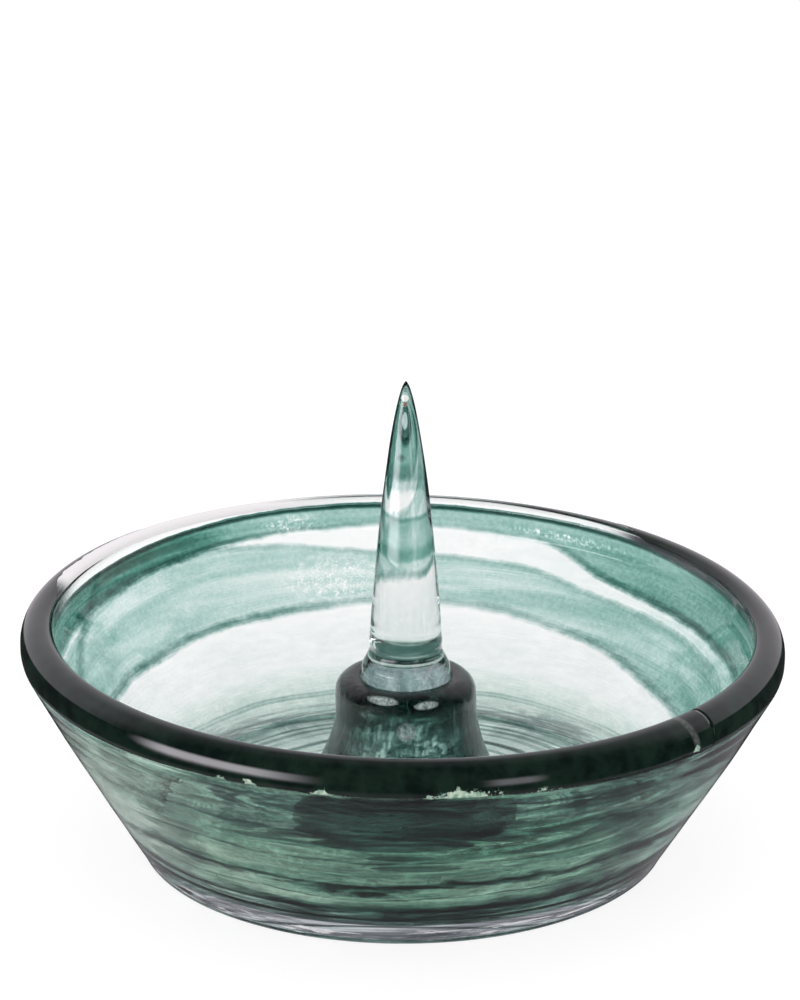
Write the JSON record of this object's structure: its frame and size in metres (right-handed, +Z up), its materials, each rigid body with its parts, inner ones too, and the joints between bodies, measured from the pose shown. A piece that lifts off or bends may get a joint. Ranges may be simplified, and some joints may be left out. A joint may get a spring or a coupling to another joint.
{
  "type": "spiked glass ash dish",
  "caption": "Round hand-blown glass dish with a dark wrapped lip, teal colour lining and a pointed clear glass spike on a dark boss in its floor.",
  "frame": {"origin": "centre of the flat underside of the foot", "axes": "+Z up along the spike, -Y towards the front of the dish, +X to the right"},
  "size_m": [0.127, 0.127, 0.0806],
  "materials": {
    "clear_glass": "fire-polished clear glass",
    "teal_glass": "streaky translucent teal glass in spiral ribbons",
    "black_glass": "fire-polished near-black green glass",
    "bottle_green_glass": "dense bottle-green glass with fine vertical drag lines"
  },
  "bodies": {
    "root": {"bowl_casing": "clear_glass", "colour_lining": "teal_glass", "lip_wrap_front": "black_glass", "lip_wrap_right": "black_glass", "lip_wrap_back": "clear_glass", "spike_boss": "bottle_green_glass", "spike": "clear_glass"}
  },
  "joints": []
}
